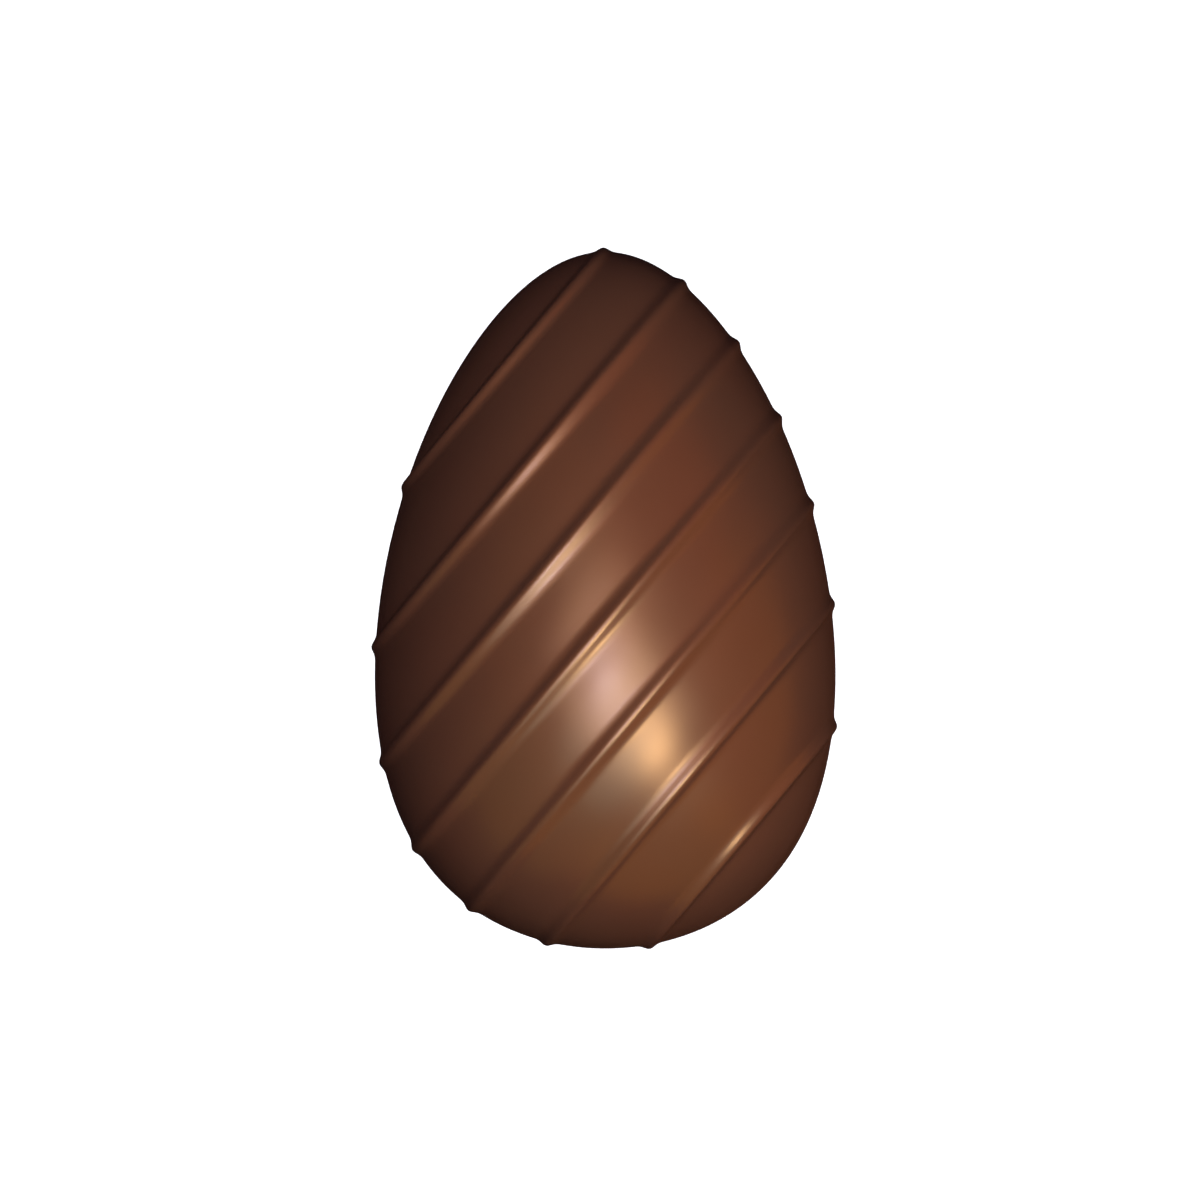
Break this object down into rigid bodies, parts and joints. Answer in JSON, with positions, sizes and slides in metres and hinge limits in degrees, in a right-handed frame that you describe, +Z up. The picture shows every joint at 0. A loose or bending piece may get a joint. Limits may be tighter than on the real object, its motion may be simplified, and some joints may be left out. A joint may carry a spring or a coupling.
{
  "type": "chocolate egg",
  "caption": "Moulded milk chocolate egg with slanting rounded ridges, lying on its side on a small flat spot.",
  "frame": {"origin": "on the resting surface, under the middle of the bounding box", "axes": "+Z up, out of the face that is looked at; +Y along the egg's long axis to the narrow end; +X to the right of that face"},
  "size_m": [0.1002, 0.1508, 0.0993],
  "materials": {
    "milk_chocolate": "milk chocolate from a polished mould, smooth with a soft shine"
  },
  "bodies": {
    "root": {"chocolate_egg": "milk_chocolate"}
  },
  "joints": []
}
